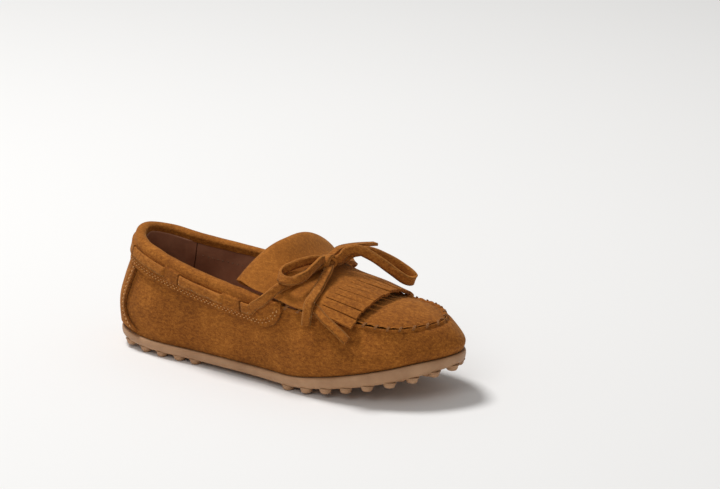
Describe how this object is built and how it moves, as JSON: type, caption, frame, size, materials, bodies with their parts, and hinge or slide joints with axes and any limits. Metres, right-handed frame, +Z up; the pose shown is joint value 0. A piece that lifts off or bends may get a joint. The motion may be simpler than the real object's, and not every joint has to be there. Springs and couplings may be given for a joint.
{
  "type": "moccasin",
  "caption": "Child's right-foot suede driving moccasin with a pebbled rubber sole, a lace threaded round its collar and tied in a bow, and a folded kiltie with a fringe.",
  "frame": {"origin": "under the middle of the shoe's bounding box, on the surface that its studs stand on", "axes": "+X to the toe, +Y to the inner side of the foot, +Z up"},
  "size_m": [0.1952, 0.0728, 0.0687],
  "materials": {
    "suede": "napped suede",
    "lace_suede": "napped suede",
    "lining_leather": "smooth matt leather",
    "sole_rubber": "matt gum rubber",
    "fibre_board": "matt fibre board",
    "foam": "open-cell foam",
    "thread": "waxed thread"
  },
  "bodies": {
    "shoe": {"outsole": "sole_rubber", "insole_board": "fibre_board", "heel_cushion": "foam", "sock_lining": "lining_leather", "side_wall": "suede", "heel_counter": "fibre_board", "heel_lining": "lining_leather", "quarter_lining_outer": "lining_leather", "quarter_lining_inner": "lining_leather", "heel_backstay": "suede", "backstay_thread": "thread", "collar": "suede", "collar_thread": "thread", "apron": "suede", "apron_seam_thread": "thread", "kiltie": "suede", "lace": "lace_suede", "bow_knot": "lace_suede"},
    "fringe": {"kiltie_fringe": "suede"},
    "outer_loop": {"bow_loop_outer": "lace_suede"},
    "inner_loop": {"bow_loop_inner": "lace_suede"},
    "outer_tail": {"bow_tail_outer": "lace_suede"},
    "inner_tail": {"bow_tail_inner": "lace_suede"}
  },
  "joints": [
    {"name": "fringe_lift", "type": "hinge", "parent": "shoe", "child": "fringe", "pos_m": [0.0342, 0.0007, 0.0514], "axis": [0, -1, 0], "range_deg": [0, 50]},
    {"name": "inner_loop_lift", "type": "hinge", "parent": "shoe", "child": "inner_loop", "pos_m": [0.0263, 0.0069, 0.059], "axis": [0.6222, -0.7828, 0], "range_deg": [0, 40]},
    {"name": "outer_loop_lift", "type": "hinge", "parent": "shoe", "child": "outer_loop", "pos_m": [0.0211, -0.0067, 0.0612], "axis": [-1, 0, 0], "range_deg": [0, 45]},
    {"name": "outer_tail_lift", "type": "hinge", "parent": "shoe", "child": "outer_tail", "pos_m": [0.0267, -0.0062, 0.0562], "axis": [-1, 0, 0], "range_deg": [0, 50]},
    {"name": "inner_tail_swing", "type": "hinge", "parent": "shoe", "child": "inner_tail", "pos_m": [0.0211, 0.0081, 0.0606], "axis": [0.9536, -0.3011, 0], "range_deg": [-15, 30], "stiffness_Nm_per_rad": 0.002}
  ],
  "couplings": [
    {"joint": "inner_loop_lift", "follows": "fringe_lift", "ratio": 0.8}
  ]
}
